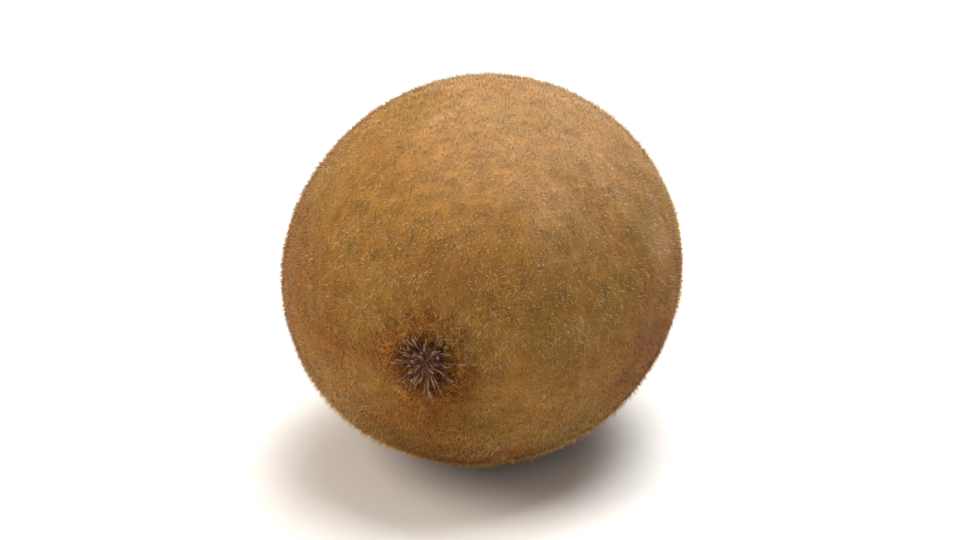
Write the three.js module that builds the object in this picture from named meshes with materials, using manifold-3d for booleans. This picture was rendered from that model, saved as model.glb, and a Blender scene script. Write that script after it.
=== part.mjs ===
// A kiwi fruit lying on its side, at real size in millimetres, +Z up. The core runs along Y: the
// blossom end, with the dried styles of the flower, faces -Y, and the stalk scar faces +Y.
// The origin is on the resting surface, under the middle of the fruit's box.
import * as THREE from "three";
import { mergeVertices } from "three/addons/utils/BufferGeometryUtils.js";
import Module from "manifold-3d";

// Driving dimensions of the fruit
const FRUIT_LENGTH = 66; // pole to pole, before the ends are dimpled
const FRUIT_WIDTH = 54; // across, as it lies
const FRUIT_HEIGHT = 50.5; // the section is a little flatter than it is wide
const SHOULDER = 2.08; // exponent of the outline: 2 is an ellipse, more is blockier
const TAPER = 0.05; // share by which the blossom end is narrower, and the stem end wider
const FLAT_DEPTH = 0.45; // how far the skin has pressed flat where the fruit rests

// Slow swellings that keep the section from being a true oval: waves round the core, their share of
// the radius, where they start round the core and how far they wind along it, in radians
const SWELLINGS = [
  { waves: 2, share: 0.006, start: 0.6, wind: 1.1 },
  { waves: 3, share: 0.005, start: 2.1, wind: -0.8 },
  { waves: 5, share: 0.002, start: 4.0, wind: 0.5 },
];

// Blossom end: a shallow dimple, and in it a raised collar round the pit that holds the styles
const BLOSSOM_DIMPLE = { depth: 1.5, radius: 8.5 };
const COLLAR = { height: 1.1, radius: 4.6, width: 1.1 };
const STYLE_PIT = { depth: 1.0, radius: 3.4 };

// Stem end: a wider dimple, and in it the stalk scar, a low ring round a small pith hole
const STEM_DIMPLE = { depth: 2.0, radius: 7.5 };
const SCAR_RING = { height: 1.0, radius: 4.1, width: 0.85 };
const PITH_HOLE = { depth: 0.7, radius: 1.1 };

// Dried styles: a spiral head of bent, tapered stubs on a low dome
const STYLE_COUNT = 30; // about one for each chamber of seeds in the fruit
const STYLE_LENGTH = { least: 1.6, most: 2.7 }; // out of the dome
const STYLE_ROOT_RADIUS = 0.4;
const STYLE_TIP_RADIUS = 0.3;
const STYLE_DROOP = 0.5; // how far a style's tip bends away from the axis
const STYLE_LEAN = { middle: 8, rim: 46, spread: 16 }; // degrees from the axis, and how uneven
const STYLE_RING = 0.75; // share of the dome's radius where the outermost styles stand
const STYLE_SIDES = 5;
const STYLE_STEPS = 2;
const STYLE_ROOT_SUNK = 0.7; // depth of a style's root in the dome
const DOME_RADIUS = 2.1;
const DOME_HEIGHT = 1.9;
const DOME_GAP = 0.35; // clearance between the dome and the floor of its pit
const GOLDEN_ANGLE = Math.PI * (3 - Math.sqrt(5));
const STYLE_SEED = 7;

// Fineness of the faceted surfaces
const PROFILE_STEPS = 50;
const PROFILE_CROWDING = 0.76; // crowds the profile's points towards the two ends
const ROUND_STEPS = 56;
const DOME_STEPS = 20;
const MERGE_GAP = 1e-4; // vertices closer than this are one

// Colours, from the skin in the light and the dark tuft at the blossom end
const SKIN = new THREE.MeshStandardMaterial({ color: 0xa8743f, roughness: 0.85, metalness: 0 });
const DRIED_STYLES = new THREE.MeshStandardMaterial({ color: 0x4a3426, roughness: 0.9, metalness: 0 });

const manifold = await Module();
manifold.setup();

/** A closed three.js geometry as a solid for cutting and joining. */
function solidOf(geometry) {
  const bare = new THREE.BufferGeometry();
  bare.setAttribute("position", geometry.getAttribute("position"));
  bare.setIndex(geometry.index);
  const merged = mergeVertices(bare, MERGE_GAP);
  return new manifold.Manifold(
    new manifold.Mesh({
      numProp: 3,
      vertProperties: merged.getAttribute("position").array,
      triVerts: new Uint32Array(merged.index.array),
    }),
  );
}

/** A solid's surface as a three.js geometry. */
function geometryOf(solid) {
  const { vertProperties, triVerts } = solid.getMesh();
  const geometry = new THREE.BufferGeometry();
  geometry.setAttribute("position", new THREE.BufferAttribute(vertProperties, 3));
  geometry.setIndex(new THREE.BufferAttribute(triVerts, 1));
  geometry.computeVertexNormals();
  return geometry;
}

/** Moves every vertex of a geometry by a rule that changes the point it is given. */
function reshape(geometry, rule) {
  const position = geometry.getAttribute("position");
  const point = new THREE.Vector3();
  for (let i = 0; i < position.count; i += 1) {
    rule(point.fromBufferAttribute(position, i));
    position.setXYZ(i, point.x, point.y, point.z);
  }
  return geometry;
}

/** Repeatable random numbers from 0 to 1 (the mulberry32 generator). */
function seededRandom(seed) {
  let state = seed;
  return () => {
    state = (state + 0x6d2b79f5) | 0;
    let mixed = Math.imul(state ^ (state >>> 15), 1 | state);
    mixed = (mixed + Math.imul(mixed ^ (mixed >>> 7), 61 | mixed)) ^ mixed;
    return ((mixed ^ (mixed >>> 14)) >>> 0) / 2 ** 32;
  };
}

const hollow = ({ depth, radius }, r) => -depth * Math.exp(-((r / radius) ** 2));
const flatHollow = ({ depth, radius }, r) => -depth * Math.exp(-((r / radius) ** 4));
const ring = ({ height, radius, width }, r) => height * Math.exp(-(((r - radius) / width) ** 2));

/** How far the blossom end stands out along the core, at a distance r from it. */
function blossomRelief(r) {
  return hollow(BLOSSOM_DIMPLE, r) + ring(COLLAR, r) + flatHollow(STYLE_PIT, r);
}

/** How far the stem end stands out along the core, at a distance r from it. */
function stemRelief(r) {
  return hollow(STEM_DIMPLE, r) + ring(SCAR_RING, r) + flatHollow(PITH_HOLE, r);
}

/** Half of the fruit's outline, from the blossom end's pole to the stem end's. */
function fruitProfile() {
  const power = 2 / SHOULDER;
  const points = [];
  for (let i = 0; i <= PROFILE_STEPS; i += 1) {
    const share = i / PROFILE_STEPS;
    const crowded = share - (PROFILE_CROWDING * Math.sin(2 * Math.PI * share)) / (2 * Math.PI);
    const angle = Math.PI * crowded;
    const along = -Math.sign(Math.cos(angle)) * Math.abs(Math.cos(angle)) ** power;
    const isPole = i === 0 || i === PROFILE_STEPS;
    const across = isPole ? 0 : Math.sin(angle) ** power * (1 + TAPER * along);
    const r = (FRUIT_WIDTH / 2) * across;
    const relief = along < 0 ? -blossomRelief(r) : stemRelief(r);
    points.push(new THREE.Vector2(r, (FRUIT_LENGTH / 2) * along + relief));
  }
  return points;
}

/** The whole fruit as one solid: skin and flesh, with its two ends and the flat it rests on. */
function fruitSolid() {
  const flattening = FRUIT_HEIGHT / FRUIT_WIDTH;
  const lathe = new THREE.LatheGeometry(fruitProfile(), ROUND_STEPS);
  reshape(lathe, (point) => {
    const along = point.y / (FRUIT_LENGTH / 2);
    const round = Math.atan2(point.z, point.x);
    const fade = Math.max(0, 1 - along * along);
    let swell = 1;
    for (const { waves, share, start, wind } of SWELLINGS) {
      swell += share * fade * Math.cos(waves * round + start + wind * along);
    }
    point.x *= swell;
    point.z *= swell * flattening;
  });
  const below = new THREE.BoxGeometry(FRUIT_WIDTH, FRUIT_LENGTH, FRUIT_HEIGHT);
  below.translate(0, 0, -FRUIT_HEIGHT + FLAT_DEPTH);
  return solidOf(lathe).subtract(solidOf(below));
}

/** One dried style, from its root at the origin up +Y, its tip bent towards +X. */
function styleGeometry(length) {
  const stub = new THREE.CylinderGeometry(
    STYLE_TIP_RADIUS,
    STYLE_ROOT_RADIUS,
    length,
    STYLE_SIDES,
    STYLE_STEPS,
  );
  stub.translate(0, length / 2, 0);
  return reshape(stub, (point) => {
    point.x += STYLE_DROOP * (point.y / length) ** 2;
  });
}

/** The low dome that the styles stand on, its base at the origin and its axis along +Y. */
function domeGeometry() {
  const quarter = new THREE.EllipseCurve(0, 0, DOME_RADIUS, DOME_HEIGHT, 0, Math.PI / 2);
  const outline = quarter.getPoints(DOME_STEPS / 4);
  outline.at(-1).x = 0;
  return new THREE.LatheGeometry([new THREE.Vector2(0, 0), ...outline], DOME_STEPS);
}

/** The head of dried styles as one solid, placed as its dome is. */
function styleHeadSolid() {
  const random = seededRandom(STYLE_SEED);
  const { lerp, degToRad } = THREE.MathUtils;
  let head = solidOf(domeGeometry());
  for (let i = 0; i < STYLE_COUNT; i += 1) {
    const outwards = Math.sqrt((i + 0.5) / STYLE_COUNT);
    const length = lerp(STYLE_LENGTH.least, STYLE_LENGTH.most, random());
    const uneven = STYLE_LEAN.spread * (random() - 0.5);
    const lean = lerp(STYLE_LEAN.middle, STYLE_LEAN.rim, outwards) + uneven;
    const fromAxis = STYLE_RING * outwards;
    const domeTop = DOME_HEIGHT * Math.sqrt(1 - fromAxis ** 2);
    const style = styleGeometry(length + STYLE_ROOT_SUNK);
    style.rotateZ(-degToRad(lean));
    style.translate(DOME_RADIUS * fromAxis, domeTop - STYLE_ROOT_SUNK, 0);
    style.rotateY(i * GOLDEN_ANGLE);
    head = head.add(solidOf(style));
  }
  return head;
}

const fruit = new THREE.Mesh(geometryOf(fruitSolid()), SKIN);
fruit.name = "fruit";

const styles = new THREE.Mesh(geometryOf(styleHeadSolid()), DRIED_STYLES);
styles.name = "dried_styles";
styles.rotation.x = Math.PI;
styles.position.y = -FRUIT_LENGTH / 2 - blossomRelief(0) - DOME_GAP;

const kiwi = new THREE.Group();
kiwi.add(fruit, styles);

// Sets the flat on the surface, with the origin under the middle of the box.
const box = new THREE.Box3().setFromObject(kiwi, true);
const middle = box.getCenter(new THREE.Vector3());
kiwi.position.set(-middle.x, -middle.y, -box.min.z);

export default kiwi;
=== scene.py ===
"""Dresses a kiwi fruit: its skin, its coats of fuzz, its dried styles and the studio round it.

Lengths are in metres and angles in radians, unless a name or a note says otherwise. The fruit lies along
Y, with its blossom end towards -Y and its stem end towards +Y, on a floor at height 0.
"""

import logging
import math
from dataclasses import dataclass
from enum import Enum
from typing import Any, Mapping, Optional, Sequence, Union

import bpy
from mathutils import Color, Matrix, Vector

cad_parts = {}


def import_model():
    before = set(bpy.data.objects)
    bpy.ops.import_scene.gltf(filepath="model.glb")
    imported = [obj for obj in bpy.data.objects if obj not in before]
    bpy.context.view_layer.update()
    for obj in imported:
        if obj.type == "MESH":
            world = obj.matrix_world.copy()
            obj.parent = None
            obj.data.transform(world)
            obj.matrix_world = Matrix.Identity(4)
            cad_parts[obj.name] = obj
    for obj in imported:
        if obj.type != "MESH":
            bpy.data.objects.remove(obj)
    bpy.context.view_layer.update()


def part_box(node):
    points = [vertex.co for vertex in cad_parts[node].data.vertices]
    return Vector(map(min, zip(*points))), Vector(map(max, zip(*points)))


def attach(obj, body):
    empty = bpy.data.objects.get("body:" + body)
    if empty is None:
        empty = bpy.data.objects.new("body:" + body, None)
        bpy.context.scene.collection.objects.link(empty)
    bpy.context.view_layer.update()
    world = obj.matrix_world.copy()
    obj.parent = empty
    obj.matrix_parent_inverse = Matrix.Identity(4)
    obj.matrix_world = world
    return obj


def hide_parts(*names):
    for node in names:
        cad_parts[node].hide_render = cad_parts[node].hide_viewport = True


MM = 0.001
BODY = "root"
BAKE_MAP = "OFBake"
GOLDEN_ANGLE = math.pi * (3 - math.sqrt(5))
FULL_LEVEL = 255  # of a screen colour's channel
SEED_STEP = 100  # from one coat's seeds to the next one's
FUZZ_ROOM = 0.4 * MM  # how far the skin lies inside the frame's fruit, to leave room for the fuzz

log = logging.getLogger("kiwi")

Colour = tuple[float, float, float, float]
Span = tuple[float, float]
Triple = tuple[float, float, float]
Operand = Union["Wire", float, Sequence[float]]


class Slot(str, Enum):
    """The record's material slots."""

    SKIN = "skin"
    DRIED_STYLES = "dried_styles"


class Node(str, Enum):
    """The frame's nodes."""

    FRUIT = "fruit"
    DRIED_STYLES = "dried_styles"


def srgb(red: int, green: int, blue: int) -> Colour:
    """A screen colour, of levels from 0 to 255, as the linear colour that shaders use."""
    screen = Color((red, green, blue)) / FULL_LEVEL
    return (*screen.from_srgb_to_scene_linear(), 1.0)


class Wire:
    """One output of a node, which Python's operators lead on to further nodes."""

    def __init__(self, graph: "Graph", socket: bpy.types.NodeSocket) -> None:
        """Wraps an output.

        Args:
            graph: the graph that the output is in.
            socket: the output.
        """
        self.graph = graph
        self.socket = socket

    def __add__(self, other: Operand) -> "Wire":
        """This plus other."""
        return self.graph.maths("ADD", self, other)

    def __radd__(self, other: Operand) -> "Wire":
        """Other plus this."""
        return self.graph.maths("ADD", other, self)

    def __sub__(self, other: Operand) -> "Wire":
        """This minus other."""
        return self.graph.maths("SUBTRACT", self, other)

    def __rsub__(self, other: Operand) -> "Wire":
        """Other minus this."""
        return self.graph.maths("SUBTRACT", other, self)

    def __mul__(self, other: Operand) -> "Wire":
        """This times other."""
        return self.graph.maths("MULTIPLY", self, other)

    def __rmul__(self, other: Operand) -> "Wire":
        """Other times this."""
        return self.graph.maths("MULTIPLY", other, self)

    def __truediv__(self, other: Operand) -> "Wire":
        """This over other."""
        return self.graph.maths("DIVIDE", self, other)

    def __rtruediv__(self, other: Operand) -> "Wire":
        """Other over this."""
        return self.graph.maths("DIVIDE", other, self)

    def __pow__(self, power: Operand) -> "Wire":
        """This to a power."""
        return self.graph.maths("POWER", self, power)

    def __neg__(self) -> "Wire":
        """Minus this."""
        return self.graph.maths("MULTIPLY", self, -1.0)

    @property
    def x(self) -> "Wire":
        """The vector's X."""
        return self.graph.node("ShaderNodeSeparateXYZ", inputs={"Vector": self}, output="X")

    @property
    def y(self) -> "Wire":
        """The vector's Y."""
        return self.graph.node("ShaderNodeSeparateXYZ", inputs={"Vector": self}, output="Y")

    @property
    def z(self) -> "Wire":
        """The vector's Z."""
        return self.graph.node("ShaderNodeSeparateXYZ", inputs={"Vector": self}, output="Z")

    def other(self, output: str) -> "Wire":
        """Another output of the same node."""
        return Wire(self.graph, find_socket(self.socket.node.outputs, output))

    def apply(self, operation: str, *others: Operand) -> "Wire":
        """Any other operation of a Math or Vector Math node, on this and others."""
        return self.graph.maths(operation, self, *others)

    def span(self, low: float, high: float) -> "Wire":
        """From low, where this is 0, to high, where it is 1."""
        return self * (high - low) + low

    def smooth(self, low: float, high: float) -> "Wire":
        """A soft step from 0, where this is low, to 1, where it is high.

        Args:
            low: where the step starts.
            high: where the step ends, which may be under low for a step down.

        Returns:
            The step's value.
        """
        settings = {"interpolation_type": "SMOOTHSTEP"}
        if low < high:
            return self.graph.node("ShaderNodeMapRange", settings, {"Value": self, 1: low, 2: high})
        turned = {"Value": self, 1: high, 2: low, 3: 1.0, 4: 0.0}
        return self.graph.node("ShaderNodeMapRange", settings, turned)


def find_socket(sockets: Any, key: Union[int, str]) -> bpy.types.NodeSocket:
    """Finds a socket by its place or by its name among those in use.

    Args:
        sockets: a node's inputs or outputs.
        key: the place or the name.

    Returns:
        The socket.
    """
    if isinstance(key, int):
        return sockets[key]
    return next(socket for socket in sockets if socket.name == key and socket.enabled)


class Graph:
    """A node tree that is written as expressions."""

    NOISE_MIDDLE = 0.5

    def __init__(self, tree: bpy.types.NodeTree) -> None:
        """Wraps a tree.

        Args:
            tree: the tree that nodes are added to.
        """
        self.tree = tree

    def node(
        self,
        kind: str,
        settings: Optional[Mapping[str, Any]] = None,
        inputs: Optional[Mapping[Union[int, str], Any]] = None,
        output: Union[int, str, None] = None,
    ) -> Wire:
        """Adds a node.

        Args:
            kind: the node's type.
            settings: its settings, set first; stops is a ramp's list of place and colour, and
                capture_items is a Capture Attribute node's types by name.
            inputs: values or links of its inputs, by place or name.
            output: the output to return, or None for the first one in use.

        Returns:
            One output of the node.
        """
        node = self.tree.nodes.new(kind)
        for name, value in (settings or {}).items():
            if name == "stops":
                self._set_stops(node.color_ramp, value)
            elif name == "capture_items":
                for item, item_type in value.items():
                    node.capture_items.new(item_type, item)
            else:
                setattr(node, name, value)
        for key, value in (inputs or {}).items():
            self.feed(find_socket(node.inputs, key), value)
        if output is None:
            return Wire(self, next(socket for socket in node.outputs if socket.enabled))
        return Wire(self, find_socket(node.outputs, output))

    def _set_stops(self, ramp: bpy.types.ColorRamp, stops: Sequence[tuple[float, Colour]]) -> None:
        """Gives a ramp its stops, the first and last on the ramp's own two.

        Args:
            ramp: the ramp.
            stops: places and colours, in order.
        """
        for place, _ in stops[1:-1]:
            ramp.elements.new(place)
        for element, (place, colour) in zip(ramp.elements, stops):
            element.position = place
            element.color = colour

    def feed(self, socket: bpy.types.NodeSocket, value: Any) -> None:
        """Links a wire to an input, or sets the input's value.

        Args:
            socket: the input.
            value: the wire or the value; a number fills every part of a vector.
        """
        if isinstance(value, Wire):
            self.tree.links.new(value.socket, socket)
        elif socket.type == "VECTOR" and isinstance(value, (int, float)):
            socket.default_value = (value, value, value)
        elif socket.type == "VECTOR":
            socket.default_value = tuple(value)[:3]
        else:
            socket.default_value = value

    def maths(self, operation: str, *values: Operand) -> Wire:
        """Adds a Math node, or a Vector Math node if any value is a vector or a colour.

        Args:
            operation: the node's operation.
            values: what it works on.

        Returns:
            The result.
        """
        has_vector = any(self._is_vector(value) for value in values)
        kind = "ShaderNodeVectorMath" if has_vector else "ShaderNodeMath"
        return self.node(kind, {"operation": operation}, dict(enumerate(values)))

    def _is_vector(self, value: Operand) -> bool:
        """Tells whether a value has three parts.

        Args:
            value: a wire, a number or a row of numbers.

        Returns:
            True for a vector or a colour.
        """
        if isinstance(value, Wire):
            return value.socket.type in {"VECTOR", "RGBA"}
        return not isinstance(value, (int, float))

    def vector(self, x: Operand, y: Operand, z: Operand) -> Wire:
        """A vector of three values."""
        return self.node("ShaderNodeCombineXYZ", inputs={"X": x, "Y": y, "Z": z})

    def noise(self, place: Wire, grain: float, detail: float = 2.0) -> Wire:
        """Smooth noise, from 0 to 1 and mostly near the middle; its Color output is three of them.

        Args:
            place: where it is read.
            grain: the size of its largest lumps.
            detail: how many times finer lumps are added.

        Returns:
            The noise.
        """
        lumps = {"Vector": place, "Scale": 1 / grain, "Detail": detail}
        return self.node("ShaderNodeTexNoise", inputs=lumps)

    def swell(self, place: Wire, grain: float, height: float, detail: float = 2.0) -> Wire:
        """Smooth noise about zero, whose highest is a height over its lowest."""
        return (self.noise(place, grain, detail) - self.NOISE_MIDDLE) * height

    def wander(self, place: Wire, grain: float, detail: float = 1.0) -> Wire:
        """A smooth, random way for each place, with parts from -0.5 to 0.5."""
        return self.noise(place, grain, detail).other("Color") - (self.NOISE_MIDDLE,) * 3

    def blend(self, share: Operand, first: Any, second: Any) -> Wire:
        """A colour that goes from the first to the second as share goes from 0 to 1."""
        inputs = {"Factor": share, "A": first, "B": second}
        return self.node("ShaderNodeMix", {"data_type": "RGBA"}, inputs)

    def tinted(self, colour: Operand, by: Operand) -> Wire:
        """A colour made darker or lighter, channel by channel."""
        return self.maths("MULTIPLY", colour, by)


class ShapeTree(Graph):
    """A Geometry Nodes tree that makes a piece, with its sizes as named inputs."""

    SOCKET_TYPES = {
        float: "NodeSocketFloat",
        int: "NodeSocketInt",
        Vector: "NodeSocketVector",
        bpy.types.Material: "NodeSocketMaterial",
    }

    def __init__(self, name: str) -> None:
        """Starts a tree.

        Args:
            name: the tree's name.
        """
        super().__init__(bpy.data.node_groups.new(name, "GeometryNodeTree"))
        self.values: dict[str, Any] = {}
        face = self.tree.interface
        face.new_socket("Geometry", in_out="INPUT", socket_type="NodeSocketGeometry")
        face.new_socket("Geometry", in_out="OUTPUT", socket_type="NodeSocketGeometry")
        self.start = self.tree.nodes.new("NodeGroupInput")
        self.end = self.tree.nodes.new("NodeGroupOutput")

    @property
    def base(self) -> Wire:
        """The mesh that the tree is given."""
        return Wire(self, self.start.outputs["Geometry"])

    @property
    def place(self) -> Wire:
        """The position of each point."""
        return self.node("GeometryNodeInputPosition")

    def size(self, name: str, value: Any) -> Wire:
        """Adds a named input.

        Args:
            name: the input's name.
            value: its value, whose type sets the input's type.

        Returns:
            The input, inside the tree.
        """
        socket = self.tree.interface.new_socket(
            name, in_out="INPUT", socket_type=self.SOCKET_TYPES[type(value)]
        )
        self.values[socket.identifier] = value
        outputs = {output.identifier: output for output in self.start.outputs}
        return Wire(self, outputs[socket.identifier])

    def moved(self, geometry: Wire, **change: Wire) -> Wire:
        """The geometry with each point moved, by a new Position or an Offset."""
        return self.node("GeometryNodeSetPosition", inputs={"Geometry": geometry, **change})

    def drawn(self, least: Any, most: Any, seed: int) -> Wire:
        """Draws a random value or vector for each point.

        Args:
            least: the lowest value, or the lowest of each part.
            most: the highest value, or the highest of each part.
            seed: the draw's seed.

        Returns:
            The draw.
        """
        data_type = "FLOAT" if isinstance(least, float) else "FLOAT_VECTOR"
        limits = {"Min": least, "Max": most, "Seed": seed}
        return self.node("FunctionNodeRandomValue", {"data_type": data_type}, limits)

    def any_way(self, seed: int) -> Wire:
        """A random way for each point, with parts from -1 to 1."""
        return self.drawn((-1.0, -1.0, -1.0), (1.0, 1.0, 1.0), seed)

    def held(self, geometry: Wire, domain: str, **fields: Wire) -> Wire:
        """The geometry with fields worked out now and kept, each as an output of the same name.

        Args:
            geometry: what they are read on.
            domain: POINT or FACE.
            fields: the fields by name.

        Returns:
            The geometry, whose other outputs are the kept fields.
        """
        types = {"VECTOR": "VECTOR", "VALUE": "FLOAT"}
        items = {name: types[wire.socket.type] for name, wire in fields.items()}
        settings = {"domain": domain, "capture_items": items}
        return self.node("GeometryNodeCaptureAttribute", settings, {"Geometry": geometry, **fields})

    def mapped(self, geometry: Wire, across: Wire, up: Wire) -> Wire:
        """The geometry with the map that its colours are laid out on.

        Args:
            geometry: the mesh.
            across: each corner's place across the map, from 0 to 1.
            up: each corner's place up the map, from 0 to 1.

        Returns:
            The mesh with its map.
        """
        settings = {"data_type": "FLOAT2", "domain": "CORNER"}
        inputs = {"Geometry": geometry, "Name": BAKE_MAP, "Value": self.vector(across, up, 0.0)}
        return self.node("GeometryNodeStoreNamedAttribute", settings, inputs)

    def mesh(self, result: Wire, base: bpy.types.Mesh, material: bpy.types.Material) -> bpy.types.Mesh:
        """Ends the tree and runs it.

        Args:
            result: the geometry to end with.
            base: the mesh that the tree is given.
            material: the material of what it makes.

        Returns:
            A plain mesh.
        """
        whole = self.node("GeometryNodeRealizeInstances", inputs={"Geometry": result})
        soft = self.node("GeometryNodeSetShadeSmooth", inputs={"Geometry": whole})
        dressed = {"Geometry": soft, "Material": self.size("Material", material)}
        self.feed(self.end.inputs["Geometry"], self.node("GeometryNodeSetMaterial", inputs=dressed))
        maker = bpy.data.objects.new(self.tree.name, base)
        bpy.context.scene.collection.objects.link(maker)
        modifier = maker.modifiers.new(self.tree.name, "NODES")
        modifier.node_group = self.tree
        for identifier, value in self.values.items():
            modifier[identifier] = value
        depsgraph = bpy.context.evaluated_depsgraph_get()
        made = bpy.data.meshes.new_from_object(
            maker.evaluated_get(depsgraph), preserve_all_data_layers=True, depsgraph=depsgraph
        )
        bpy.data.objects.remove(maker)
        return made


def add_piece(
    name: str, mesh: bpy.types.Mesh, replaced: Optional[Node] = None
) -> bpy.types.Object:
    """Adds a finished mesh to the scene as a piece of the fruit.

    Args:
        name: the piece's name.
        mesh: its mesh, in place.
        replaced: the frame's node that it stands for, if any.

    Returns:
        The piece.
    """
    mesh.name = name
    piece = bpy.data.objects.new(name, mesh)
    bpy.context.scene.collection.objects.link(piece)
    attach(piece, BODY)
    if replaced is not None:
        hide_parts(replaced.value)
    log.info("%s: %d faces", name, len(mesh.polygons))
    return piece


class Finish:
    """A material with one Principled shader, which a subclass feeds."""

    def start(self, name: str, **constants: Any) -> tuple[bpy.types.Material, Graph, bpy.types.Node]:
        """Makes the material.

        Args:
            name: the material's name.
            constants: values that are the same all over, by input name with _ for a space.

        Returns:
            The material, its graph and its shader.
        """
        material = bpy.data.materials.new(name)
        material.use_nodes = True
        shader = material.node_tree.nodes["Principled BSDF"]
        for key, value in constants.items():
            shader.inputs[key.replace("_", " ")].default_value = value
        return material, Graph(material.node_tree), shader


@dataclass(frozen=True)
class Hollow:
    """A round hollow at an end of the fruit."""

    depth: float
    radius: float
    sharpness: int = 2

    def at(self, r: Wire) -> Wire:
        """Its height at a distance from the core, which is under zero."""
        return (-((r / self.radius) ** self.sharpness)).apply("EXPONENT") * -self.depth


@dataclass(frozen=True)
class Ring:
    """A round ridge at an end of the fruit."""

    height: float
    radius: float
    width: float

    def at(self, r: Wire) -> Wire:
        """Its height at a distance from the core."""
        return (-(((r - self.radius) / self.width) ** 2)).apply("EXPONENT") * self.height


@dataclass(frozen=True)
class Swelling:
    """A slow wave round the core that keeps the section from being a true oval."""

    waves: int
    share: float
    start: float
    wind: float

    def at(self, turn: Wire, along: Wire) -> Wire:
        """Its share of the radius at a turn round the core and a place along it."""
        return (turn * self.waves + self.start + along * self.wind).apply("COSINE") * self.share


@dataclass(frozen=True)
class FruitForm:
    """The fruit's shape, fitted to the box of the frame's fruit."""

    low: Vector
    high: Vector
    shoulder: float = 2.08  # exponent of the outline: 2 is an ellipse, and more is blockier
    taper: float = 0.05  # share by which the blossom end is narrower, and the stem end wider
    flat_depth: float = 0.45 * MM  # how far the skin has pressed flat where the fruit rests
    sunk: float = 1.5 * MM  # how much the dimples shorten the fruit
    end_start: float = 0.6  # share of the way along the core where an end starts
    end_full: float = 0.8  # and where it is full
    swellings: tuple[Swelling, ...] = (
        Swelling(waves=2, share=0.006, start=0.6, wind=1.1),
        Swelling(waves=3, share=0.005, start=2.1, wind=-0.8),
        Swelling(waves=5, share=0.002, start=4.0, wind=0.5),
    )
    blossom: tuple[Union[Hollow, Ring], ...] = (
        Hollow(depth=1.5 * MM, radius=8.5 * MM),
        Ring(height=1.1 * MM, radius=4.6 * MM, width=1.1 * MM),
        Hollow(depth=1.0 * MM, radius=3.4 * MM, sharpness=4),
    )
    stem: tuple[Union[Hollow, Ring], ...] = (
        Hollow(depth=2.0 * MM, radius=7.5 * MM),
        Ring(height=1.0 * MM, radius=4.1 * MM, width=0.85 * MM),
        Hollow(depth=0.7 * MM, radius=1.1 * MM, sharpness=4),
    )

    @property
    def size(self) -> Vector:
        """The box's three sides."""
        return self.high - self.low

    @property
    def middle(self) -> Vector:
        """A point on the core, half way along it."""
        height = self.size.z + self.flat_depth
        return Vector((0.0, (self.low.y + self.high.y) / 2, self.high.z - height / 2))

    def off_core(self, place: Wire) -> Wire:
        """The way from the core's line out to a place."""
        return (place - tuple(self.middle)) * (1.0, 0.0, 1.0)

    def from_core(self, place: Wire) -> Wire:
        """The distance of a place from the core's line."""
        return self.off_core(place).apply("LENGTH")

    def along_core(self, place: Wire) -> Wire:
        """How far along the core a place is, from -1 at the blossom end to 1 at the stem end."""
        return (place - tuple(self.middle)).y / (self.size.y / 2)

    def at_blossom(self, place: Wire) -> Wire:
        """1 at the blossom end, and 0 from a little way off it."""
        return self.along_core(place).smooth(-self.end_start, -self.end_full)

    def at_stem(self, place: Wire) -> Wire:
        """1 at the stem end, and 0 from a little way off it."""
        return self.along_core(place).smooth(self.end_start, self.end_full)


@dataclass(frozen=True)
class ColourDrift:
    """Slow drifts of colour over the fruit, read alike by the skin and by the fuzz: real blotches of rust
    and olive, with painted shade, bounce light and highlight by side and height.
    """

    form: FruitForm
    start: Triple = (0.031, 0.007, 0.012)  # places the blotches of rust and olive
    rust_size: float = 17 * MM
    # painted shade: redder and darker below and towards -X
    painted_shade_slope: Triple = (-2.5, 0.0, -6.0)  # gain for each metre along X, Y and Z
    # painted warm bounce light and shade at both sides, from where they start across the half width
    painted_bounce_sides: float = 0.12
    painted_bounce_start: float = 0.6
    rust_ends: float = 0.3
    rust_reach: float = 12 * MM
    rust_range: Span = (0.34, 0.84)
    olive_size: float = 12 * MM
    olive_range: Span = (0.44, 0.68)
    # painted highlight: the skin and the fuzz turn paler above and towards +X, where the light falls
    highlight_slope: Triple = (20.0, 0.0, 44.0)
    highlight_range: Span = (1.1, 1.8)

    def rust(self, graph: Graph, place: Wire) -> Wire:
        """The share of rust, with painted shade: real rust in blotches and round the two ends, painted
        shade below and at one side, and painted warm bounce light at both sides.

        Args:
            graph: a material's or a shape's graph.
            place: where it is read, in the fruit's frame.

        Returns:
            From 0, where the fruit is golden, to 1, where it is rusty, painted shade included.
        """
        off = place - tuple(self.form.middle)
        # painted shade: redder and darker below and towards -X
        slope = off.apply("DOT_PRODUCT", self.painted_shade_slope)
        half_width = self.form.size.x / 2
        # painted warm bounce light and shade at both sides
        aside = off.x.apply("ABSOLUTE") / half_width
        sides = aside.smooth(self.painted_bounce_start, 1.0) * self.painted_bounce_sides
        ends = self.form.from_core(place).smooth(self.rust_reach, 0.0) * self.rust_ends
        blotch = graph.noise(place + self.start, self.rust_size)
        return (blotch + slope + sides + ends).smooth(*self.rust_range)

    def pale(self, graph: Graph, place: Wire) -> Wire:
        """The share of painted highlight on the skin and the fuzz, most above and at one side, with the
        arguments of rust.
        """
        slope = (place - tuple(self.form.middle)).apply("DOT_PRODUCT", self.highlight_slope)
        return (graph.noise(place, self.olive_size) + slope).smooth(*self.highlight_range)

    def olive(self, graph: Graph, place: Wire) -> Wire:
        """The share of olive, none round the two ends, with the arguments of rust."""
        blotch = graph.noise(place - self.start, self.olive_size).smooth(*self.olive_range)
        return blotch * self.form.from_core(place).smooth(self.rust_reach / 2, self.rust_reach)


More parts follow.
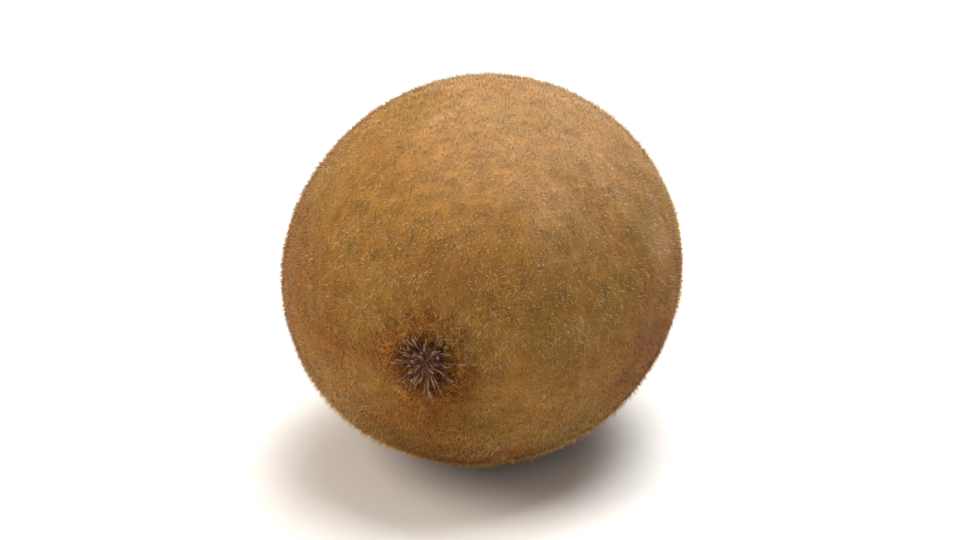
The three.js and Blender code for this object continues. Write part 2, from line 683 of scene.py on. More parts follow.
@dataclass(frozen=True)
class SkinFinish(Finish):
    """Dull olive and rust skin with painted shade and a painted highlight, and with pores, flecks, a brown
    pit and a corky stalk scar.
    """

    gold: Colour = srgb(133, 95, 41)
    rust: Colour = srgb(122, 72, 27)
    olive: Colour = srgb(114, 92, 37)
    # the painted highlight's colour, laid over the skin above and at one side
    painted_highlight: Colour = srgb(172, 131, 90)
    fleck: Colour = srgb(62, 40, 24)
    pit: Colour = srgb(146, 98, 58)
    cork: Colour = srgb(126, 89, 49)
    crack: Colour = srgb(66, 42, 23)
    rim: Colour = srgb(72, 44, 21)
    pith: Colour = srgb(46, 29, 17)
    olive_share: float = 0.5
    painted_highlight_share: float = 0.45
    mottle_size: float = 2.2 * MM
    mottle_shade: Span = (0.45, 1.55)
    dullness: Span = (0.55, 0.85)
    fleck_size: float = 0.8 * MM
    fleck_edge: Span = (0.3, 0.15)  # distances from a fleck's middle, as shares of its size
    fleck_share: float = 0.45
    flecked_size: float = 3 * MM
    flecked_range: Span = (0.36, 0.6)
    pore_size: float = 0.4 * MM
    pore_depth: float = 0.1 * MM
    pit_radius: float = 3.7 * MM
    pit_shade: Span = (0.5, 1.5)
    scar_radius: float = 4.5 * MM
    rim_width: float = 1.1 * MM
    rim_share: float = 0.8
    pith_radius: float = 1.0 * MM
    pith_shade: Span = (0.2, 1.8)
    ragged: float = 1.4 * MM
    ragged_size: float = 1.2 * MM
    cork_range: Span = (0.75, 1.2)
    cork_shade: Span = (0.55, 1.45)
    crack_size: float = 1.6 * MM
    crack_width: float = 0.08  # as a share of a crack's size
    crack_share: float = 0.8
    crack_drift: float = 0.8 * MM
    fibre_size: float = 0.45 * MM
    fibre_length: float = 5.0  # how many times longer than wide
    soft_edge: float = 0.5 * MM

    def material(self, form: FruitForm, drift: ColourDrift) -> bpy.types.Material:
        """Makes the material.

        Args:
            form: the fruit's shape, for the places of its ends.
            drift: the fruit's drifts of colour.

        Returns:
            The material.
        """
        material, graph, shader = self.start(
            "kiwi_skin", Sheen_Weight=0.03, Sheen_Roughness=0.5, Specular_IOR_Level=0.12
        )
        place = graph.node("ShaderNodeTexCoord", output="Object")
        mottle = graph.noise(place, self.mottle_size, detail=3.0)
        # the rust share holds painted shade and bounce light below and at the sides
        colour = graph.blend(drift.rust(graph, place), self.gold, self.rust)
        colour = graph.blend(drift.olive(graph, place) * self.olive_share, colour, self.olive)
        # painted highlight, above and at one side
        colour = graph.blend(drift.pale(graph, place) * self.painted_highlight_share, colour, self.painted_highlight)
        colour = graph.tinted(colour, mottle.span(*self.mottle_shade))
        cells = graph.node("ShaderNodeTexVoronoi", inputs={"Vector": place, "Scale": 1 / self.fleck_size})
        flecked = graph.noise(place, self.flecked_size, detail=1.0).smooth(*self.flecked_range)
        flecks = cells.smooth(*self.fleck_edge) * flecked
        colour = graph.blend(flecks * self.fleck_share, colour, self.fleck)
        r = form.from_core(place) + graph.swell(place, self.ragged_size, self.ragged)
        pit = graph.tinted(self.pit, mottle.span(*self.pit_shade))
        colour = graph.blend(self._within(r, self.pit_radius) * form.at_blossom(place), colour, pit)
        colour = self._scarred(graph, form, place, colour, r)
        graph.feed(shader.inputs["Base Color"], colour)
        graph.feed(shader.inputs["Roughness"], mottle.span(*self.dullness))
        pores = graph.noise(place, self.pore_size)
        bump = graph.node("ShaderNodeBump", inputs={"Distance": self.pore_depth, "Height": pores})
        graph.feed(shader.inputs["Normal"], bump)
        return material

    def _within(self, r: Wire, radius: float) -> Wire:
        """1 inside a radius and 0 outside it, with a soft edge."""
        return r.smooth(radius + self.soft_edge, radius - self.soft_edge)

    def _scarred(self, graph: Graph, form: FruitForm, place: Wire, colour: Wire, r: Wire) -> Wire:
        """Adds the stalk scar: cracked, fibrous cork with a dark rim and a dark pith.

        Args:
            graph: the material's graph.
            form: the fruit's shape.
            place: where it is read.
            colour: the skin's colour round it.
            r: the uneven distance from the core.

        Returns:
            The colour with the scar.
        """
        blotch = graph.noise(place, self.crack_size, detail=3.0)
        shaken = place + graph.wander(place, self.crack_size, detail=3.0) * self.crack_drift
        cells = {"Vector": shaken, "Scale": 1 / self.crack_size}
        edges = graph.node("ShaderNodeTexVoronoi", {"feature": "DISTANCE_TO_EDGE"}, cells)
        cracks = edges.smooth(self.crack_width, 0.0)
        outwards = form.off_core(place).apply("NORMALIZE") * self.scar_radius
        fibres = graph.noise(outwards + place * (1 / self.fibre_length), self.fibre_size, detail=4.0)
        cork = graph.blend((fibres + blotch).smooth(*self.cork_range), self.crack, self.cork)
        cork = graph.tinted(cork, blotch.span(*self.cork_shade))
        cork = graph.blend(cracks * self.crack_share, cork, self.crack)
        scar = self._within(r, self.scar_radius)
        rim = scar - self._within(r, self.scar_radius - self.rim_width)
        cork = graph.blend(rim * self.rim_share, cork, self.rim)
        pith = graph.tinted(self.pith, blotch.span(*self.pith_shade))
        cork = graph.blend(self._within(r, self.pith_radius), cork, pith)
        return graph.blend(scar * form.at_stem(place), colour, cork)


@dataclass(frozen=True)
class FuzzFinish(Finish):
    """Dry hairs, from dark rust to pale straw, darker at the root."""

    dark: Colour = srgb(110, 66, 32)
    rust: Colour = srgb(178, 106, 40)
    gold: Colour = srgb(197, 149, 70)
    tan: Colour = srgb(221, 181, 112)
    straw: Colour = srgb(244, 220, 186)
    root_shade: float = 0.3
    shaded_part: float = 0.7  # how far up a hair the shade reaches

    def material(self) -> bpy.types.Material:
        """Makes the material, whose colour is read from the map that each hair is laid on.

        Returns:
            The material.
        """
        material, graph, shader = self.start("kiwi_fuzz", Roughness=0.5, Specular_IOR_Level=0.15)
        spot = graph.node("ShaderNodeUVMap", {"uv_map": BAKE_MAP})
        colours = (self.dark, self.rust, self.gold, self.tan, self.straw)
        stops = [(index / (len(colours) - 1), colour) for index, colour in enumerate(colours)]
        tint = graph.node("ShaderNodeValToRGB", {"stops": stops}, {"Fac": spot.x})
        shade = spot.y.smooth(0.0, self.shaded_part).span(self.root_shade, 1.0)
        graph.feed(shader.inputs["Base Color"], graph.tinted(tint, shade))
        return material


@dataclass(frozen=True)
class StyleFinish(Finish):
    """Dry, dark styles with greyer tips."""

    dark: Colour = srgb(76, 51, 39)
    brown: Colour = srgb(118, 81, 58)
    grey: Colour = srgb(148, 114, 90)
    blotch_size: float = 0.6 * MM
    blotch_depth: float = 0.08 * MM
    brown_range: Span = (0.35, 0.65)
    tip_start: float = 0.6  # how far up a style it starts to turn grey
    dullness: Span = (0.6, 0.9)

    def material(self) -> bpy.types.Material:
        """Makes the material, whose tips are found on the map that each style is laid on.

        Returns:
            The material.
        """
        material, graph, shader = self.start("dried_styles", Specular_IOR_Level=0.25)
        place = graph.node("ShaderNodeTexCoord", output="Object")
        spot = graph.node("ShaderNodeUVMap", {"uv_map": BAKE_MAP})
        blotch = graph.noise(place, self.blotch_size, detail=3.0)
        colour = graph.blend(blotch.smooth(*self.brown_range), self.dark, self.brown)
        colour = graph.blend(spot.y.smooth(self.tip_start, 1.0) * blotch, colour, self.grey)
        graph.feed(shader.inputs["Base Color"], colour)
        graph.feed(shader.inputs["Roughness"], blotch.span(*self.dullness))
        bump = graph.node("ShaderNodeBump", inputs={"Distance": self.blotch_depth, "Height": blotch})
        graph.feed(shader.inputs["Normal"], bump)
        return material


@dataclass
class FruitSkin:
    """The whole outside of the fruit, with the relief of its two ends."""

    form: FruitForm
    cuts: int = 97  # points along each side of the cube that is rounded into the fruit
    crowding: float = 0.35  # crowds the points towards the two ends
    lump_size: float = 7 * MM
    lump_height: float = 0.2 * MM
    grain_size: float = 1.2 * MM
    grain_height: float = 0.14 * MM
    cork_size: float = 1.3 * MM
    cork_height: float = 0.7 * MM
    cork_radius: float = 4.0 * MM
    cork_fade: float = 1 * MM
    pucker_count: int = 15
    pucker_depth: float = 0.16 * MM
    pucker_radius: float = 6.5 * MM
    pucker_width: float = 3.0 * MM
    pucker_drift: float = 5 * MM
    pucker_unevenness: float = 5.0
    rest_fade: Span = (0.1 * MM, 1.5 * MM)  # heights between which the relief comes in
    tiles_across: int = 3
    tiles_up: int = 2
    tile_margin: float = 0.01

    def build(self, finish: SkinFinish, drift: ColourDrift) -> bpy.types.Object:
        """Makes the skin.

        Args:
            finish: its finish.
            drift: the fruit's drifts of colour.

        Returns:
            The piece.
        """
        tree = ShapeTree("kiwi_skin")
        cuts = tree.size("Cuts", self.cuts)
        sides = {"Size": 2.0, "Vertices X": cuts, "Vertices Y": cuts, "Vertices Z": cuts}
        cube = tree.node("GeometryNodeMeshCube", inputs=sides)
        facing = tree.node("GeometryNodeInputNormal", output="True Normal")
        turned = tree.held(cube, "FACE", Facing=facing)
        spotted = tree.held(turned, "POINT", Spot=tree.place)
        shaped = tree.moved(spotted, Position=self._egg(tree))
        rough = tree.moved(shaped, Offset=self._relief(tree))
        fitted = tree.moved(rough, Position=self._fitted(tree, rough))
        across, up = self._tiles(tree, turned.other("Facing"), spotted.other("Spot"))
        result = tree.mapped(fitted, across, up)
        empty = bpy.data.meshes.new("kiwi_skin_base")
        mesh = tree.mesh(result, empty, finish.material(self.form, drift))
        return add_piece("kiwi_skin", mesh, Node.FRUIT)

    def _egg(self, tree: ShapeTree) -> Wire:
        """Rounds a cube into the egg form with its two ends.

        Args:
            tree: the skin's tree.

        Returns:
            A place for each point of the cube's surface.
        """
        form = self.form
        width = tree.size("Width", form.size.x)
        height = tree.size("Height", form.size.z + form.flat_depth)
        length = tree.size("Length", form.size.y + form.sunk)
        power = tree.size("Shoulder Power", 2 / form.shoulder)
        flat = tree.size("Flat Depth", form.flat_depth)
        # The tangent spreads the cube's points evenly over a ball
        ball = (tree.place * (math.pi / 4)).apply("TANGENT").apply("NORMALIZE")
        polar = (-ball.y).apply("ARCCOSINE")
        crowded = polar - (polar * 2).apply("SINE") * (tree.size("Crowding", self.crowding) / 2)
        axial = -crowded.apply("COSINE")
        along = axial.apply("SIGN") * axial.apply("ABSOLUTE") ** power
        across = crowded.apply("SINE") ** power * (along * tree.size("Taper", form.taper) + 1)
        r = across * width / 2
        at_stem = along.apply("GREATER_THAN", 0.0)
        stem = sum(relief.at(r) for relief in form.stem)
        blossom = sum(relief.at(r) for relief in form.blossom)
        y = along * length / 2 + at_stem * stem - (1 - at_stem) * blossom
        share = y / length * 2
        turn = ball.z.apply("ARCTAN2", ball.x)
        swell = sum(swelling.at(turn, share) for swelling in form.swellings)
        rim = r * (swell * (1 - share * share).apply("MAXIMUM", 0.0) + 1)
        z = rim * turn.apply("SINE") * height / width
        # Nothing reaches lower than the flat spot
        lying = z.apply("MAXIMUM", flat - height / 2)
        centred = tree.vector(rim * turn.apply("COSINE"), y, lying)
        return centred + tuple(form.middle)

    def _relief(self, tree: ShapeTree) -> Wire:
        """Adds lumps, grain, a rough scar and the puckers round the ends.

        Args:
            tree: the skin's tree.

        Returns:
            An offset for each point.
        """
        place = tree.place
        stem, blossom = self.form.at_stem(place), self.form.at_blossom(place)
        r = self.form.from_core(place)
        lumps = tree.swell(place, self.lump_size, self.lump_height, detail=1.0)
        grain = tree.swell(place, self.grain_size, self.grain_height)
        cork = tree.swell(place, self.cork_size, self.cork_height)
        rough = cork * stem * r.smooth(self.cork_radius + self.cork_fade, self.cork_radius)
        off = self.form.off_core(place)
        turn = off.z.apply("ARCTAN2", off.x)
        uneven = tree.swell(place, self.pucker_drift, self.pucker_unevenness)
        window = Ring(self.pucker_depth, self.pucker_radius, self.pucker_width).at(r)
        ridges = (turn * self.pucker_count + uneven).apply("COSINE")
        pucker = ridges * window * (stem + blossom)
        above = place.z.smooth(*self.rest_fade)
        normal = tree.node("GeometryNodeInputNormal")
        return normal * ((lumps + grain + rough + pucker) * above)

    def _fitted(self, tree: ShapeTree, geometry: Wire) -> Wire:
        """Fits the skin to its box.

        Args:
            tree: the skin's tree.
            geometry: the skin as shaped.

        Returns:
            Each point's place once the whole fills the box.
        """
        low = tree.size("Low Corner", self.form.low)
        high = tree.size("High Corner", self.form.high)
        spread = tree.node(
            "GeometryNodeAttributeStatistic",
            {"data_type": "FLOAT_VECTOR"},
            {"Geometry": geometry, "Attribute": tree.place},
        )
        least, most = spread.other("Min"), spread.other("Max")
        return low + (tree.place - least) / (most - least) * (high - low)

    def _tiles(self, tree: ShapeTree, facing: Wire, spot: Wire) -> tuple[Wire, Wire]:
        """Lays the cube's six sides out as six tiles, three across and two up.

        Args:
            tree: the skin's tree.
            facing: the cube side's direction.
            spot: the point's place on the cube.

        Returns:
            Places across and up the map.
        """
        sides = facing.apply("ABSOLUTE")
        column = sides.y + sides.z * 2
        half = 0.5
        row = facing.apply("DOT_PRODUCT", (half, half, half)) + half
        sideways = sides.x * spot.y + (sides.y + sides.z) * spot.x
        upwards = (sides.x + sides.y) * spot.z + sides.z * spot.y
        reach = half - self.tile_margin
        across = (column + half + sideways * reach) / self.tiles_across
        up = (row + half + upwards * reach) / self.tiles_up
        return across, up


@dataclass(frozen=True)
class Strand:
    """A tapered strand, one long and one thick, that is set in place many times and bent."""

    sides: int
    steps: int
    tip: float = 0.0  # the tip's thickness, as a share of the root's
    belly: float = 0.8  # share by which it is thicker half way up
    wriggle: float = 0.0  # how far the tip strays, from side to side
    wriggle_size: float = 1.4 * MM
    map_width: float = 0.006  # how wide it lies on the map
    map_margin: float = 0.02
    map_slant: float = 0.3  # keeps its faces from lying edge-on there

    def draw(self, tree: ShapeTree) -> Wire:
        """Adds one strand.

        Args:
            tree: the piece's tree.

        Returns:
            The strand, with each point's place on it held as Spot.
        """
        shape = {
            "Vertices": self.sides,
            "Side Segments": self.steps,
            "Radius Top": self.tip / 2,
            "Radius Bottom": 0.5,
            "Depth": 1.0,
        }
        cone = tree.node("GeometryNodeMeshCone", {"fill_type": "NGON"}, shape)
        place = tree.place
        # 1 half way up, and 0 at both ends
        half_way = place.z * (1 - place.z) * 4
        fuller = half_way * self.belly + 1
        round_strand = tree.moved(cone, Position=tree.vector(place.x * fuller, place.y * fuller, place.z))
        return tree.held(round_strand, "POINT", Spot=tree.place)

    def plant(
        self, tree: ShapeTree, points: Wire, way: Wire, size: Wire, bend: Wire, tint: Wire, kept: Any = True
    ) -> Wire:
        """Sets a strand at each point, bends it and lays it on the map, where across is its tint.

        Args:
            tree: the piece's tree.
            points: the strands' roots.
            way: the way that a strand leaves its root.
            size: its two thicknesses and its length.
            bend: how far its tip is off the straight line.
            tint: its tint, from 0 to 1.
            kept: whether a point gets a strand at all.

        Returns:
            The strands, as one mesh with its map.
        """
        planted = tree.held(points, "POINT", Bend=bend, Tint=tint)
        strand = self.draw(tree)
        setting = {
            "Points": planted,
            "Selection": kept,
            "Instance": strand,
            "Rotation": tree.node("FunctionNodeAlignRotationToVector", {"axis": "Z"}, {"Vector": way}),
            "Scale": size,
        }
        straight = tree.node("GeometryNodeInstanceOnPoints", inputs=setting)
        whole = tree.node("GeometryNodeRealizeInstances", inputs={"Geometry": straight})
        spot = strand.other("Spot")
        shape = tree.moved(whole, Offset=planted.other("Bend") * (spot.z * spot.z))
        if self.wriggle:
            drift = tree.wander(tree.place, self.wriggle_size)
            shape = tree.moved(shape, Offset=drift * (spot.z * self.wriggle))
        span = 1 - 2 * self.map_margin
        across = planted.other("Tint") * span + self.map_margin
        across = across + (spot.x + spot.y * self.map_slant) * self.map_width
        up = spot.z * span + self.map_margin + (spot.y - spot.x * self.map_slant) * self.map_width
        return tree.mapped(shape, across, up)


class Cover(Enum):
    """Where a coat of hairs grows."""

    WHOLE = "whole"
    ENDS = "ends"


@dataclass(frozen=True)
class Hairs:
    """One kind of hair, with its least and its most length, and how it grows."""

    strand: Strand
    per_square_mm: float
    least: float
    most: float
    thickness: float
    tint: float  # from dark rust at 0 to straw at 1
    cover: Cover = Cover.WHOLE
    scatter: float = 0.4  # how far hairs stray from their neighbours' way
    end_gain: float = 0.35  # share by which they are longer and denser at the two ends


SPIKE = Strand(sides=3, steps=1)
HAIR = Strand(sides=3, steps=2)
DOWN = Hairs(SPIKE, per_square_mm=4.0, least=0.3 * MM, most=0.65 * MM, thickness=0.045 * MM, tint=0.6)
FUZZ = Hairs(HAIR, per_square_mm=1.6, least=0.6 * MM, most=1.2 * MM, thickness=0.045 * MM, tint=0.78)
BRISTLES = Hairs(
    HAIR,
    per_square_mm=1.3,
    least=0.8 * MM,
    most=1.4 * MM,
    thickness=0.05 * MM,
    tint=0.86,
    scatter=0.6,
    end_gain=0.0,
)
TUFTS = Hairs(
    HAIR,
    per_square_mm=11.0,
    least=1.0 * MM,
    most=1.8 * MM,
    thickness=0.06 * MM,
    tint=0.72,
    cover=Cover.ENDS,
    scatter=0.8,
    end_gain=0.0,
)


@dataclass(frozen=True)
class Coat:
    """One coat of hairs on the skin, combed towards the blossom end."""

    name: str
    seed: int
    hairs: Hairs
    form: FruitForm
    drift: ColourDrift
    rise: float = 1.0  # out of the skin
    lean: float = 0.42  # along the skin
    swirl: float = 2.4
    swirl_size: float = 6 * MM
    curl: float = 0.25  # how far a tip bends, as a share of the hair's length
    root_depth: float = 0.06 * MM
    floor_room: float = 0.85  # share of its way to the floor that a hair may fill
    least_dip: float = 0.02  # a hair whose way dips less than this never meets the floor
    shortest: float = 0.15 * MM  # a shorter hair is left out
    bare_scar: float = 3.8 * MM
    bare_pit: float = 2.3 * MM
    end_reach: float = 8.5 * MM
    ragged: float = 1.6 * MM
    ragged_size: float = 2.0 * MM
    worn_size: float = 9 * MM
    worn_range: Span = (0.25, 0.6)
    worn_share: float = 0.4
    tint_rust: float = 0.44
    tint_olive: float = 0.06
    # how much paler the painted highlight makes a hair
    tint_highlight: float = 0.36
    tint_spread: float = 0.5
    clump_size: float = 2.4 * MM
    clump_share: float = 0.6

    def build(self, skin: bpy.types.Object, material: bpy.types.Material) -> bpy.types.Object:
        """Grows the coat.

        Args:
            skin: the piece that it grows on.
            material: the hairs' material.

        Returns:
            The piece.
        """
        tree = ShapeTree(self.name)
        seed = tree.size("Seed", self.seed)
        growth = {"Mesh": tree.base, "Density": self._density(tree), "Seed": seed}
        points = tree.node("GeometryNodeDistributePointsOnFaces", inputs=growth)
        normal = points.other("Normal")
        sunk = tree.moved(points, Offset=normal * -self.root_depth)
        root = tree.place
        flow = self._flow(tree, root, normal)
        upright = normal * tree.size("Rise", self.rise)
        combed = flow * tree.size("Lean", self.lean)
        stray = tree.any_way(self.seed + 1) * tree.size("Scatter", self.hairs.scatter)
        way = (upright + combed + stray).apply("NORMALIZE")
        bend = (tree.any_way(self.seed + 2) + flow) * tree.size("Curl", self.curl)
        length = self._length(tree, root, way + bend)
        thickness = tree.size("Thickness", self.hairs.thickness)
        size = tree.vector(thickness, thickness, length)
        kept = length.apply("GREATER_THAN", self.shortest)
        tint = self._tint(tree, root)
        grown = self.hairs.strand.plant(tree, sunk, way, size, bend * length, tint, kept)
        return add_piece(self.name, tree.mesh(grown, skin.data, material))

    def _flow(self, tree: ShapeTree, root: Wire, normal: Wire) -> Wire:
        """Combs the hairs towards the blossom end, with swirls.

        Args:
            tree: the coat's tree.
            root: the hair's root.
            normal: the way out of the skin there.

        Returns:
            The way that they are combed, along the skin.
        """
        swirls = tree.wander(root, self.swirl_size)
        combed = swirls * tree.size("Swirl", self.swirl) + (0.0, -1.0, 0.0)
        return combed - normal * combed.apply("DOT_PRODUCT", normal)

    def _density(self, tree: ShapeTree) -> Wire:
        """Sets how dense the hairs are: denser round the two ends, and bare on the scar and in the pit.

        Args:
            tree: the coat's tree.

        Returns:
            The hairs in a square metre.
        """
        place = tree.place
        stem, blossom = self.form.at_stem(place), self.form.at_blossom(place)
        r = self.form.from_core(place) + tree.swell(place, self.ragged_size, self.ragged)
        bare = r.apply("LESS_THAN", self.bare_scar) * stem + r.apply("LESS_THAN", self.bare_pit) * blossom
        density = tree.size("Hairs per Square Metre", self.hairs.per_square_mm / MM**2) * (1 - bare)
        if self.hairs.cover is Cover.ENDS:
            return density * r.smooth(self.end_reach, self.end_reach / 2) * (stem + blossom)
        return density * ((stem + blossom) * self.hairs.end_gain + 1)

    def _length(self, tree: ShapeTree, root: Wire, reach: Wire) -> Wire:
        """Each hair's length, cut short where its tip would meet the floor.

        Args:
            tree: the coat's tree.
            root: the hair's root.
            reach: the way from its root to its tip, for a hair of length 1.

        Returns:
            The length.
        """
        least = tree.size("Least Length", self.hairs.least)
        most = tree.size("Most Length", self.hairs.most)
        free = least + (most - least) * tree.drawn(0.0, 1.0, self.seed + 4)
        worn = tree.noise(root, self.worn_size).smooth(*self.worn_range).span(1 - self.worn_share, 1.0)
        ends = (self.form.at_stem(root) + self.form.at_blossom(root)) * self.hairs.end_gain + 1
        dip = (-reach.z).apply("MAXIMUM", self.least_dip)
        room = (root.z - self.hairs.thickness) * self.floor_room / dip
        return (free * worn * ends).apply("MINIMUM", room)

    def _tint(self, tree: ShapeTree, root: Wire) -> Wire:
        """Draws each hair's tint.

        Args:
            tree: the coat's tree.
            root: the hair's root.

        Returns:
            The tint, from dark rust at 0 to straw at 1.
        """
        # the rust share holds painted shade and bounce light, which darkens the hairs below and at the
        # sides
        rust = self.drift.rust(tree, root) * -self.tint_rust
        olive = self.drift.olive(tree, root) * -self.tint_olive
        # painted highlight: paler hairs above and at one side
        pale = self.drift.pale(tree, root) * self.tint_highlight
        clump = tree.swell(root, self.clump_size, self.clump_share, detail=1.0)
        own = tree.drawn(-self.tint_spread / 2, self.tint_spread / 2, self.seed + 3)
        tint = rust + olive + pale + clump + own + self.hairs.tint
        return tint.apply("MAXIMUM", 0.0).apply("MINIMUM", 1.0)


@dataclass(frozen=True)
class StyleHead:
    """The dried styles at the blossom end, curled out of a low dome."""

    low: Vector
    high: Vector
    seed: int = 11
    count: int = 60
    crowding: float = 0.7  # 0.5 spreads the styles evenly, and more crowds them to the middle
    ring: float = 1.8 * MM
    dome_radius: float = 2.2 * MM
    dome_height: float = 1.7 * MM
    dome_fall: float = 0.7  # how steeply the roots fall away towards the rim
    dome_lump: float = 0.25  # as a share of the radius
    dome_cuts: int = 4
    dome_map_middle: Span = (0.5, 0.05)  # across and up the map
    dome_map_reach: Span = (0.4, 0.02)
    root_share: float = 0.6  # how far up the dome's height a style is rooted
    thickness: float = 0.42 * MM
    thin_and_thick: Span = (0.75, 1.2)
    flatness: float = 0.7
    least: float = 2.1 * MM
    most: float = 3.4 * MM
    middle_lean: float = math.radians(6)
    rim_lean: float = math.radians(58)
    uneven_lean: float = math.radians(14)
    uneven_turn: float = 0.3
    droop: float = 0.35
    stray: Triple = (0.3, 0.2, 0.3)  # how far a tip curls its own way, as shares of its length
    strand: Strand = Strand(
        sides=6, steps=9, tip=0.7, belly=-0.12, wriggle=1.3 * MM, map_width=0.02, map_margin=0.05
    )

    def build(self, finish: StyleFinish) -> bpy.types.Object:
        """Makes the head.

        Args:
            finish: its finish.

        Returns:
            The piece.
        """
        tree = ShapeTree("dried_styles_fine")
        centre = Vector(((self.low.x + self.high.x) / 2, self.high.y, (self.low.z + self.high.z) / 2))
        both = tree.node("GeometryNodeJoinGeometry", inputs={"Geometry": self._styles(tree, centre)})
        tree.feed(both.socket.node.inputs["Geometry"], self._dome(tree, centre))
        empty = bpy.data.meshes.new("dried_styles_base")
        mesh = tree.mesh(both, empty, finish.material())
        return add_piece("dried_styles_fine", mesh, Node.DRIED_STYLES)

    def _styles(self, tree: ShapeTree, centre: Vector) -> Wire:
        """Sets the styles in a spiral, upright in the middle and leaning out at the rim.

        Args:
            tree: the head's tree.
            centre: the middle of the dome's base.

        Returns:
            The styles.
        """
        count = tree.size("Styles", self.count)
        index = tree.node("GeometryNodeInputIndex")
        outwards = ((index + 0.5) / count) ** self.crowding
        turn = index * GOLDEN_ANGLE + tree.drawn(-self.uneven_turn, self.uneven_turn, self.seed)
        side = tree.vector(turn.apply("COSINE"), 0.0, turn.apply("SINE"))
        fall = outwards * outwards * self.dome_fall
        lift = (1 - fall).apply("SQRT") * (self.dome_height * self.root_share)
        ring = side * (outwards * tree.size("Ring", self.ring)) + tuple(centre)
        roots = ring - tree.vector(0.0, lift, 0.0)
        points = tree.node("GeometryNodePoints", inputs={"Count": count, "Position": roots})
        lean = outwards * outwards * (self.rim_lean - self.middle_lean) + self.middle_lean
        lean = lean + tree.drawn(-self.uneven_lean, self.uneven_lean, self.seed + 1)
        way = side * lean.apply("SINE") - tree.vector(0.0, lean.apply("COSINE"), 0.0)
        length = tree.drawn(self.least, self.most, self.seed + 2)
        x, y, z = self.stray
        curl = side * self.droop + tree.drawn((-x, 0.0, -z), (x, y, z), self.seed + 3)
        thick = tree.drawn(*self.thin_and_thick, self.seed + 5) * tree.size("Thickness", self.thickness)
        size = tree.vector(thick, thick * self.flatness, length)
        tint = tree.drawn(0.0, 1.0, self.seed + 4)
        return self.strand.plant(tree, points, way, size, curl * length, tint)

    def _dome(self, tree: ShapeTree, centre: Vector) -> Wire:
        """Makes the low, lumpy dome that the styles stand on, laid where the map is a root's colour.

        Args:
            tree: the head's tree.
            centre: the middle of the dome's base.

        Returns:
            The dome.
        """
        cuts = tree.size("Dome Cuts", self.dome_cuts)
        ball = tree.node("GeometryNodeMeshIcoSphere", inputs={"Radius": 1.0, "Subdivisions": cuts})
        place = tree.place
        lumps = tree.swell(place, self.dome_lump, self.dome_lump) + 1
        radii = (self.dome_radius, self.dome_height, self.dome_radius)
        sat = tree.moved(ball, Position=place * radii * lumps + tuple(centre))
        spot = zip((place.x, place.z), self.dome_map_reach, self.dome_map_middle)
        across, up = (part * reach + middle for part, reach, middle in spot)
        return tree.mapped(sat, across, up)


@dataclass(frozen=True)
class FloorFinish(Finish):
    """A pale matt studio floor with a faint mottle."""

    pale: Colour = srgb(226, 226, 225)
    paler: Colour = srgb(232, 232, 231)
    mottle_size: float = 0.4
    mottle_range: Span = (0.3, 0.7)

    def material(self) -> bpy.types.Material:
        """Makes the material.

        Returns:
            The material.
        """
        material, graph, shader = self.start("studio_floor", Roughness=0.85, Specular_IOR_Level=0.2)
        place = graph.node("ShaderNodeTexCoord", output="Object")
        mottle = graph.noise(place, self.mottle_size).smooth(*self.mottle_range)
        graph.feed(shader.inputs["Base Color"], graph.blend(mottle, self.pale, self.paler))
        return material


@dataclass(frozen=True)
class SoftLight:
    """A large, square lamp that points at the fruit, its place in degrees and its power in watts."""

    name: str
    azimuth: float
    elevation: float
    distance: float
    side: float
    power: float
    colour: Triple = (1.0, 1.0, 1.0)


def towards(azimuth: float, elevation: float) -> Vector:
    """The way out to a viewer, from azimuth 0 on the -Y side and turning towards +X, in degrees."""
    a, e = math.radians(azimuth), math.radians(elevation)
    return Vector((math.sin(a) * math.cos(e), -math.cos(a) * math.cos(e), math.sin(e)))


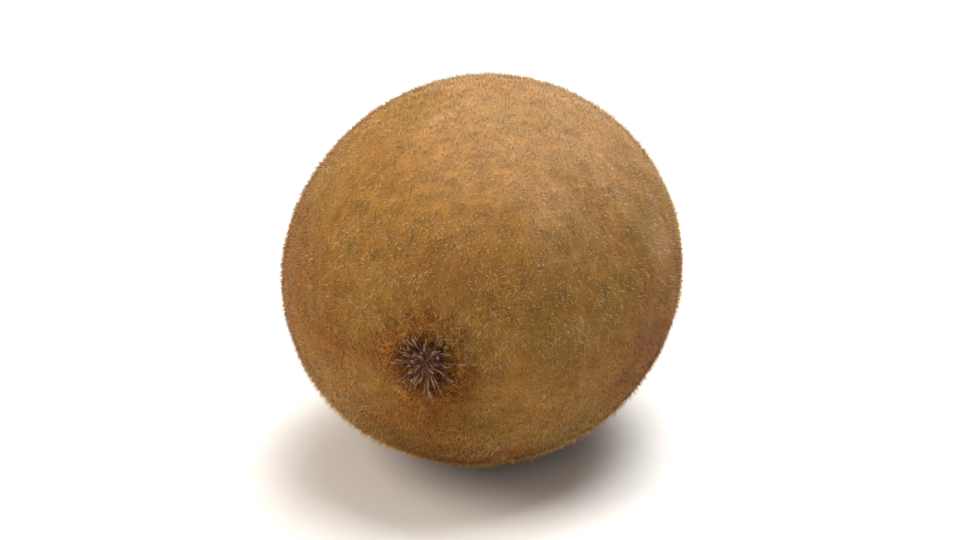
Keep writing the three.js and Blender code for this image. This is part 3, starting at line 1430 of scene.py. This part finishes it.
@dataclass(frozen=True)
class Studio:
    """The floor, the light and the camera, which looks from a place in degrees."""

    target: Vector
    floor_reach: float = 6.0
    azimuth: float = 13.0
    elevation: float = 22.5
    distance: float = 0.8
    lens_mm: float = 220.0
    world_strength: float = 0.26
    lights: tuple[SoftLight, ...] = (
        SoftLight("key_light", 145, 76, distance=0.9, side=0.7, power=11.0, colour=(1.0, 0.98, 0.95)),
        SoftLight("fill_light", -65, 38, distance=1.0, side=0.7, power=8.0, colour=(1.0, 0.88, 0.76)),
        SoftLight("front_light", -10, 8, distance=1.0, side=0.7, power=2.6, colour=(1.0, 0.95, 0.88)),
        SoftLight("back_light", 175, 42, distance=0.9, side=0.6, power=6.0),
    )

    def build(self) -> None:
        """Makes the floor, the world, the lights and the camera."""
        self._floor()
        self._world()
        for light in self.lights:
            self._light(light)
        self._camera()
        bpy.context.scene.view_settings.view_transform = "Standard"

    def _floor(self) -> None:
        """A flat floor, out to beyond every view."""
        mesh = bpy.data.meshes.new("studio_floor")
        reach = self.floor_reach
        corners = [(-reach, -reach), (reach, -reach), (reach, reach), (-reach, reach)]
        mesh.from_pydata([(x, y, 0.0) for x, y in corners], [], [(0, 1, 2, 3)])
        mesh.materials.append(FloorFinish().material())
        floor = bpy.data.objects.new("studio_floor", mesh)
        bpy.context.scene.collection.objects.link(floor)

    def _world(self) -> None:
        """An even, white surround."""
        world = bpy.data.worlds.new("studio_world")
        world.use_nodes = True
        surround = world.node_tree.nodes["Background"]
        surround.inputs["Color"].default_value = (1.0, 1.0, 1.0, 1.0)
        surround.inputs["Strength"].default_value = self.world_strength
        bpy.context.scene.world = world

    def _light(self, light: SoftLight) -> None:
        """Adds one lamp.

        Args:
            light: what it is and where it stands.
        """
        data = bpy.data.lights.new(light.name, "AREA")
        data.energy = light.power
        data.size = light.side
        data.color = light.colour
        lamp = bpy.data.objects.new(light.name, data)
        out = towards(light.azimuth, light.elevation)
        lamp.location = self.target + out * light.distance
        lamp.rotation_euler = (-out).to_track_quat("-Z", "Y").to_euler()
        bpy.context.scene.collection.objects.link(lamp)

    def _camera(self) -> None:
        """Sets the camera at the photograph's viewing angle."""
        data = bpy.data.cameras.new("camera")
        data.lens = self.lens_mm
        camera = bpy.data.objects.new("camera", data)
        out = towards(self.azimuth, self.elevation)
        camera.location = self.target + out * self.distance
        camera.rotation_euler = (-out).to_track_quat("-Z", "Y").to_euler()
        bpy.context.scene.collection.objects.link(camera)
        bpy.context.scene.camera = camera


def main() -> None:
    """Builds the fruit round the frame, and the studio round the fruit."""
    logging.basicConfig(level=logging.INFO, format="%(name)s: %(message)s")
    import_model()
    low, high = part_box(Node.FRUIT.value)
    round_about = Vector((FUZZ_ROOM, FUZZ_ROOM, 0.0))
    above = Vector((0.0, 0.0, FUZZ_ROOM))
    form = FruitForm(low + round_about, high - round_about - above)
    styles_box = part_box(Node.DRIED_STYLES.value)
    drift = ColourDrift(form)
    skin = FruitSkin(form).build(SkinFinish(), drift)
    fuzz = FuzzFinish().material()
    coats = {
        "down_first": DOWN,
        "down_second": DOWN,
        "fuzz_first": FUZZ,
        "fuzz_second": FUZZ,
        "bristles": BRISTLES,
        "end_tufts": TUFTS,
    }
    for number, (name, hairs) in enumerate(coats.items(), 1):
        Coat(name, number * SEED_STEP, hairs, form, drift).build(skin, fuzz)
    StyleHead(*styles_box).build(StyleFinish())
    Studio((form.low + form.high) / 2).build()


if __name__ == "__main__":
    main()
